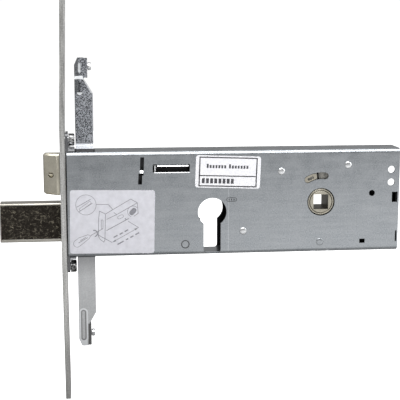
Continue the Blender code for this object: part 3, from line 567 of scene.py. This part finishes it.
def add_stroke(bm, points, width, low, high, closed=False):
    left, right = stroke_outline(points, width, closed)
    if not closed:
        add_plate(bm, left + right[::-1], low, high)
        return
    rings = [
        [bm.verts.new((x, y, z)) for x, z in side]
        for side, y in ((left, low), (right, low), (right, high), (left, high))
    ]
    for near, far in zip(rings, rings[1:] + rings[:1]):
        for i in range(len(points)):
            bm.faces.new((near[i - 1], near[i], far[i], far[i - 1]))


def piece(name, bm, material, body):
    """Turns a bmesh in metres into a piece that rides on a body."""
    bmesh.ops.recalc_face_normals(bm, faces=bm.faces)
    mesh = bpy.data.meshes.new(name)
    bm.to_mesh(mesh)
    bm.free()
    mesh.materials.append(material)
    obj = bpy.data.objects.new(name, mesh)
    bpy.context.scene.collection.objects.link(obj)
    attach(obj, body)
    return obj


class Print:
    """Ink on a label: shapes in the label's own millimetres from its centre, turned with the label."""

    def __init__(self, label, degrees):
        low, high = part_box(label)
        self.centre = ((low.x + high.x) / 2, (low.z + high.z) / 2)
        self.turn = radians(degrees)
        self.depth = (low.y - 0.03 * MM, low.y + 0.02 * MM)
        self.bm = bmesh.new()

    def place(self, points):
        c, s = cos(self.turn), sin(self.turn)
        return [
            (self.centre[0] + (x * c - z * s) * MM, self.centre[1] + (x * s + z * c) * MM) for x, z in points
        ]

    def line(self, points, width=0.34, closed=False):
        add_stroke(self.bm, self.place(points), width * MM, *self.depth, closed)

    def fill(self, points):
        add_plate(self.bm, self.place(points), *self.depth)

    def bar(self, x, z, width, height, degrees=0.0):
        """A filled bar whose lower left corner is at (x, z)."""
        c, s = cos(radians(degrees)), sin(radians(degrees))
        corners = [(0, 0), (width, 0), (width, height), (0, height)]
        self.fill([(x + a * c - b * s, z + a * s + b * c) for a, b in corners])


def print_instruction_label(made):
    """A generic fitting sketch: a lock body in perspective, its depth, a screwdriver and a close-up."""
    ink = Print("instruction_label", -1.0)
    close_up = (-15.7, 10.3)
    ink.line(arc(close_up, 6.0, 0, 360, 36)[:-1], 0.26, True)
    ink.line([(-21.2, 8.9), (-12.9, 13.7)])
    ink.line([(-19.9, 6.1), (-11.9, 11.3)])
    ink.line(obround((-18.8, 7.6), (-13.4, 11.6), 0.75), 0.24, True)
    ink.line([(-9.7, 10.5), (-2.6, 10.6), (0.2, 7.5)])
    # the plate at the lock's front, with its slot
    ink.line(
        [(-4.2, 4.8), (-7.7, 6.6), (-8.3, 0.5), (-8.2, -8.8), (-7.2, -10.6), (-5.0, -12.2), (-4.4, -10.6)]
    )
    ink.line([(-4.2, 4.8), (-4.4, -10.6)])
    ink.line(obround((-6.1, 0.8), (-6.1, -3.6), 0.5), 0.3, True)
    # the body behind it
    ink.line([(-4.2, 4.8), (10.7, 13.8), (14.6, 11.6), (15.2, 5.2), (12.6, 3.4)])
    ink.line([(-3.5, 1.6), (2.4, 4.4), (14.4, 11.4)])
    ink.line([(-3.5, -5.2), (9.8, 2.2)], 0.42)
    ink.line([(0.8, 5.7), (2.6, 4.3)])
    ink.line(obround((3.9, 2.7), (5.6, 3.5), 0.9, 5), 0.24, True)
    ink.line(arc((12.2, 6.3), 3.3, 40, 250, 20), 0.26)
    ink.fill(obround((11.4, 5.5), (12.7, 7.0), 1.5, 6))
    ink.fill([(7.0, 2.2), (8.2, 1.0), (7.9, 2.3)])
    # the depth that is drilled, between two extension lines
    ink.line([(9.2, 0.5), (15.5, -3.4)])
    ink.line([(-8.9, -7.6), (-0.2, -12.4)])
    ink.line([(0.6, -11.9), (14.9, -3.8)], 0.3)
    ink.fill([(-0.2, -12.4), (2.3, -11.7), (1.7, -10.7)])
    ink.fill([(15.5, -3.4), (13.0, -4.1), (13.6, -5.1)])
    for x, z, width in ((0.9, -9.7, 2.6), (4.4, -7.9, 2.2), (7.4, -6.2, 2.4)):
        ink.bar(x, z, width, 0.75, 29)
    for x, z, width in ((3.2, -14.0, 4.2), (8.2, -11.2, 1.6), (10.8, -9.8, 2.2), (13.8, -8.1, 2.6)):
        ink.bar(x, z, width, 0.75, 29)
    # the screwdriver
    butt = arc((-20.8, -13.0), 2.2, 110, 300, 8)
    ink.line(butt + [(-14.0, -10.2), (-12.6, -8.2), (-14.6, -7.7), (-20.0, -9.6)], 0.26, True)
    ink.line([(-20.0, -12.6), (-14.6, -9.4)])
    ink.line([(-19.0, -11.2), (-15.6, -9.2)])
    ink.line(arc((-10.8, -6.9), 1.9, -80, 110, 10), 0.6)
    ink.line([(-12.6, -8.0), (-5.6, -4.0)])
    piece("instruction_print", ink.bm, made["fine_ink"], "case")


def print_control_label(made):
    """A ruled border with a divider, and rows of blank blocks where a heading and a number would go."""
    ink = Print("control_label", -2.1)
    half_width, top, bottom, divider = 17.2, 8.6, -8.6, -2.4
    border = [(-half_width, bottom), (half_width, bottom), (half_width, top), (-half_width, top)]
    ink.line(border, 0.75, True)
    ink.line([(-half_width, divider), (half_width, divider)], 0.65)
    piece("control_print_rules", ink.bm, made["ink"], "case")
    ink = Print("control_label", -2.1)
    for first in (-13.0, 0.4):
        for i in range(7):
            ink.bar(first + 1.75 * i, 2.2, 1.15, 2.5 if i == 0 else 1.8)
    for i in range(8):
        ink.bar(-15.6 + 2.5 * i, -7.0, 1.7, 3.0)
    piece("control_print_blocks", ink.bm, made["ink"], "case")


def turned_cap(centre, y, radius, height, steps=24):
    """A shallow dome standing on y towards -Y, with a flat back just inside the sheet."""
    profile = [
        (radius, 0.12 * MM),
        (radius, -0.02 * MM),
        (0.82 * radius, -0.62 * height),
        (0.45 * radius, -height),
    ]
    bm = bmesh.new()
    rings = []
    for r, depth in profile:
        ring = [(2 * pi * i / steps, r, depth) for i in range(steps)]
        rings.append(
            [bm.verts.new((centre[0] + k * cos(a), y + d, centre[1] + k * sin(a))) for a, k, d in ring]
        )
    for near, far in zip(rings, rings[1:]):
        for i in range(steps):
            bm.faces.new((near[i - 1], near[i], far[i], far[i - 1]))
    bm.faces.new(rings[0])
    tip = bm.verts.new((centre[0], y - 1.06 * height, centre[1]))
    for i in range(steps):
        bm.faces.new((rings[-1][i - 1], rings[-1][i], tip))
    return bm


def add_rivet_heads(made):
    """The heads of the pillars' rivets, spread over their holes; the front one is left flush."""
    for name in ("middle_lower", "middle_upper", "rear_upper", "rear_lower"):
        low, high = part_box(f"pillar_{name}")
        centre = ((low.x + high.x) / 2, (low.z + high.z) / 2)
        faint = name == "rear_lower"
        head = piece(
            f"rivet_head_{name}",
            turned_cap(centre, NEAR_FACE, 2.2 * MM, (0.16 if faint else 0.42) * MM),
            made["case" if faint else "bright"],
            "case",
        )
        head.data.shade_smooth()


def add_ledge(bm, left, right, top, bottom, lean, depth):
    """A wedge in mm behind the near face at this depth, whose near side leans back by lean towards its top.

    With its thickness it stays clear of the upper arm's leg, which runs 1.65 mm behind the near face.
    """
    back = depth + LEDGE_THICKNESS
    section = [(depth + lean, top), (back + lean, top), (back, bottom), (depth, bottom)]
    ends = [[bm.verts.new((x * MM, NEAR_FACE + y * MM, z * MM)) for y, z in section] for x in (left, right)]
    bm.faces.new(ends[0])
    bm.faces.new(ends[1][::-1])
    for i in range(len(section)):
        bm.faces.new((ends[0][i - 1], ends[0][i], ends[1][i], ends[1][i - 1]))


def add_slot_tabs(made):
    """Tabs lanced inwards at the long slot and at the step of the stepped slot, which catch the light."""
    # left, right, top, bottom, lean and depth
    ledges = {
        "long_slot_tab": (57.0, 75.6, 23.65, 22.4, 0.95, 0.1),
        "long_slot_lip": (55.2, 76.4, 18.9, 18.5, 0.2, -0.18),
        "long_slot_end": (55.3, 56.1, 23.0, 19.4, 0.9, 0.1),
        "stepped_slot_tab": (46.6, 48.8, 20.1, 18.5, 0.9, 0.1),
    }
    for name, shape in ledges.items():
        bm = bmesh.new()
        add_ledge(bm, *shape)
        piece(name, bm, made["bright"], "case")


def add_rivet_gap_shade(made):
    """A dark ring of painted shade in the gap round the flush front rivet."""
    low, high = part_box("pillar_front_lower")
    centre = ((low.x + high.x) / 2, (low.z + high.z) / 2)
    bm = bmesh.new()
    ring = arc(centre, 2.3 * MM, 0, 360, 32)[:-1]
    add_stroke(bm, ring, 0.5 * MM, NEAR_FACE - 0.01 * MM, NEAR_FACE + 0.2 * MM, True)
    piece("rivet_gap_shade_front_lower", bm, made["inner"], "case")


def coil(centre, low, high, radius, wire, turns):
    """A compression spring along Z: a wire swept round an even helix, with plain ends."""
    around, per_turn = 10, 24
    steps = turns * per_turn
    bm = bmesh.new()
    rings = []
    for i in range(steps + 1):
        share = i / steps
        rise = low + wire + (high - low - 2 * wire) * share
        a = 2 * pi * i / per_turn
        out = Vector((cos(a), sin(a), 0))
        middle = Vector((centre[0], centre[1], rise)) + out * radius
        turn = [2 * pi * k / around for k in range(around)]
        rings.append(
            [bm.verts.new(middle + (out * cos(t) + Vector((0, 0, 1)) * sin(t)) * wire) for t in turn]
        )
    for near, far in zip(rings, rings[1:]):
        for k in range(around):
            bm.faces.new((near[k - 1], near[k], far[k], far[k - 1]))
    bm.faces.new(rings[0])
    bm.faces.new(rings[-1][::-1])
    return bm


def add_springs(made):
    """The two springs, as wire coils in place of the CAD springs, riding on the case."""
    # node, joint, wire radius in mm, turns, whether the top is the fixed end, and the share of length kept
    springs = (
        ("follower_spring", "follower_turn", 0.4, 6, False, 0.62),
        ("tumbler_spring", "tumbler_lift", 0.3, 5, True, 0.62),
    )
    for node, joint, wire, turns, fixed_top, keep in springs:
        low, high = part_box(node)
        centre = ((low.x + high.x) / 2, (low.y + high.y) / 2)
        radius = (high.x - low.x) / 2 - wire * MM
        bm = coil(centre, low.z, high.z, radius, wire * MM, turns)
        spring = piece(f"{node}_wire", bm, made["spring"], "case")
        spring.data.shade_smooth()
        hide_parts(node)
        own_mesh(spring)


def add_stamp(made):
    """A small blank stamped mark beside the cylinder hole, drawn in near-black as painted shade in its
    recesses.
    """
    bm = bmesh.new()
    y = NEAR_FACE
    middle_x, middle_z, depth = 101.6, 1.8, (y - 0.02 * MM, y + 0.05 * MM)
    outline = obround((middle_x - 1.9, middle_z), (middle_x + 1.9, middle_z), 1.1, 6)
    add_stroke(bm, [(a * MM, b * MM) for a, b in outline], 0.3 * MM, *depth, True)
    for x in (middle_x - 1.5, middle_x, middle_x + 1.5):
        left, right, low, high = x - 0.3, x + 0.3, middle_z - 0.5, middle_z + 0.5
        bar = [(left, low), (right, low), (right, high), (left, high)]
        add_plate(bm, [(a * MM, b * MM) for a, b in bar], *depth)
    piece("stamped_mark", bm, made["inner"], "case")


# ---------------------------------------------------------------- stage


CAMERA_PLACE = (0.0121, -0.6069, 0.1044)
CAMERA_RIGHT = (0.99316, -0.11673, 0.00172)
CAMERA_DOWN = (-0.01792, -0.16702, -0.98579)
CAMERA_LENS = 91.9

# (position, grey) stops: the room by height and across, the floor by its distance and across
WORLD_HEIGHT = [(0.0, 0.30), (0.46, 0.60), (0.50, 0.60), (0.54, 0.46), (0.62, 0.46), (0.75, 0.75), (1.0, 1.0)]
WORLD_ACROSS = [(0.0, 0.80), (0.5, 0.80), (1.0, 1.0)]
WORLD_STRENGTH = 0.8
FLOOR_ALONG = [
    (0.0, 0.29),
    (0.235, 0.42),
    (0.32, 0.62),
    (0.46, 0.93),
    (0.54, 1.0),
    (0.65, 0.75),
    (0.72, 0.35),
]
FLOOR_ACROSS = [(0.267, 0.55), (0.426, 0.76), (0.503, 0.90), (0.553, 0.97), (0.70, 1.0)]
FLOOR_STRENGTH = 1.38
FLOOR_GLOW = 0.85


def add_camera():
    data = bpy.data.cameras.new("camera")
    data.lens = CAMERA_LENS
    data.sensor_width = 36.0
    data.clip_start = 0.01
    data.clip_end = 50.0
    camera = bpy.data.objects.new("camera", data)
    right = Vector(CAMERA_RIGHT).normalized()
    up = -Vector(CAMERA_DOWN).normalized()
    back = right.cross(up).normalized()
    up = back.cross(right)
    camera.matrix_world = Matrix.Translation(CAMERA_PLACE) @ Matrix((right, up, back)).transposed().to_4x4()
    bpy.context.scene.collection.objects.link(camera)
    bpy.context.scene.camera = camera


def add_light(name, place, target, size, power, colour=(1, 1, 1)):
    data = bpy.data.lights.new(name, "AREA")
    data.shape = "RECTANGLE"
    data.size, data.size_y = size
    data.energy = power
    data.color = colour
    light = bpy.data.objects.new(name, data)
    light.location = place
    light.rotation_euler = (Vector(target) - Vector(place)).to_track_quat("-Z", "Y").to_euler()
    bpy.context.scene.collection.objects.link(light)


def gradient(tree, value, stops):
    """A colour ramp in a stage tree; stops are (position, grey)."""
    node = tree.nodes.new("ShaderNodeValToRGB")
    elements = node.color_ramp.elements
    while len(elements) < len(stops):
        elements.new(0.5)
    for element, (position, grey) in zip(elements, stops):
        element.position = position
        element.color = (grey, grey, grey, 1.0)
    tree.links.new(value, node.inputs["Fac"])
    return node.outputs["Color"]


def spread(tree, value, low, high):
    node = tree.nodes.new("ShaderNodeMapRange")
    node.inputs["From Min"].default_value = low
    node.inputs["From Max"].default_value = high
    tree.links.new(value, node.inputs["Value"])
    return node.outputs["Result"]


def times(tree, a, b):
    node = tree.nodes.new("ShaderNodeMix")
    node.data_type = "RGBA"
    node.blend_type = "MULTIPLY"
    node.inputs["Factor"].default_value = 1.0
    tree.links.new(a, node.inputs["A"])
    tree.links.new(b, node.inputs["B"])
    return node.outputs["Result"]


def split(tree, source):
    """X, Y and Z of a coordinate: Object is metres on the floor, Generated a direction in the world."""
    coord = tree.nodes.new("ShaderNodeTexCoord")
    node = tree.nodes.new("ShaderNodeSeparateXYZ")
    tree.links.new(coord.outputs[source], node.inputs[0])
    return node.outputs["X"], node.outputs["Y"], node.outputs["Z"]


def add_world():
    """White behind the object, and for the light that falls on it a room that is brightest overhead."""
    world = bpy.data.worlds.new("studio")
    bpy.context.scene.world = world
    world.use_nodes = True
    tree = world.node_tree
    tree.nodes.clear()
    path = tree.nodes.new("ShaderNodeLightPath")
    seen = tree.nodes.new("ShaderNodeBackground")
    seen.inputs["Color"].default_value = (1, 1, 1, 1)
    seen.inputs["Strength"].default_value = 1.05
    lit = tree.nodes.new("ShaderNodeBackground")
    x, _, z = split(tree, "Generated")
    height = gradient(tree, spread(tree, z, -1.0, 1.0), WORLD_HEIGHT)
    across = gradient(tree, spread(tree, x, -1.0, 1.0), WORLD_ACROSS)
    tree.links.new(times(tree, height, across), lit.inputs["Color"])
    lit.inputs["Strength"].default_value = WORLD_STRENGTH
    mix = tree.nodes.new("ShaderNodeMixShader")
    out = tree.nodes.new("ShaderNodeOutputWorld")
    tree.links.new(path.outputs["Is Camera Ray"], mix.inputs[0])
    tree.links.new(lit.outputs[0], mix.inputs[1])
    tree.links.new(seen.outputs[0], mix.inputs[2])
    tree.links.new(mix.outputs[0], out.inputs["Surface"])


def add_floor():
    """A floor that is white to the camera, while every other ray meets a glow that is graded.

    The glow is strongest about 0.4 m in front of the object and towards +X.
    """
    mesh = bpy.data.meshes.new("floor")
    half, low = 1.6, CAD_BOX[0].z - 0.0005
    corners = [(-half, -half, low), (half, -half, low), (half, half, low), (-half, half, low)]
    mesh.from_pydata(corners, [], [(0, 1, 2, 3)])
    floor = bpy.data.objects.new("floor", mesh)
    bpy.context.scene.collection.objects.link(floor)
    material = bpy.data.materials.new("floor")
    material.use_nodes = True
    tree = material.node_tree
    tree.nodes.clear()
    path = tree.nodes.new("ShaderNodeLightPath")
    x, y, _ = split(tree, "Object")
    along = gradient(tree, spread(tree, y, -1.5, 0.5), FLOOR_ALONG)
    across = gradient(tree, spread(tree, x, -0.6, 0.9), FLOOR_ACROSS)
    dim = tree.nodes.new("ShaderNodeEmission")
    tree.links.new(times(tree, along, across), dim.inputs["Color"])
    dim.inputs["Strength"].default_value = FLOOR_STRENGTH
    glow = tree.nodes.new("ShaderNodeEmission")
    glow.inputs["Strength"].default_value = FLOOR_GLOW
    diffuse = tree.nodes.new("ShaderNodeBsdfDiffuse")
    diffuse.inputs["Color"].default_value = (0.8, 0.8, 0.8, 1)
    white = tree.nodes.new("ShaderNodeAddShader")
    tree.links.new(glow.outputs[0], white.inputs[0])
    tree.links.new(diffuse.outputs[0], white.inputs[1])
    mix = tree.nodes.new("ShaderNodeMixShader")
    out = tree.nodes.new("ShaderNodeOutputMaterial")
    tree.links.new(path.outputs["Is Camera Ray"], mix.inputs[0])
    tree.links.new(dim.outputs[0], mix.inputs[1])
    tree.links.new(white.outputs[0], mix.inputs[2])
    tree.links.new(mix.outputs[0], out.inputs["Surface"])
    mesh.materials.append(material)


def add_stage():
    add_world()
    add_floor()
    add_light("key", (0.05, -0.35, 0.85), (0.1, 0, 0), (1.1, 0.5), 9.0)
    add_light("front", (0.0, -1.1, 0.85), (0.1, 0, 0), (1.2, 0.3), 5.0)
    add_light("right", (1.0, -0.5, 0.35), (0.1, 0, 0), (0.4, 0.7), 4.0)
    view = bpy.context.scene.view_settings
    view.view_transform = "Standard"
    view.look = "None"


# ---------------------------------------------------------------- run


def add_detail(made):
    print_instruction_label(made)
    print_control_label(made)
    add_rivet_heads(made)
    add_rivet_gap_shade(made)
    add_slot_tabs(made)
    add_stamp(made)
    add_springs(made)


add_stage()
add_camera()
materials = make_materials()
finish_nodes(materials)
add_detail(materials)
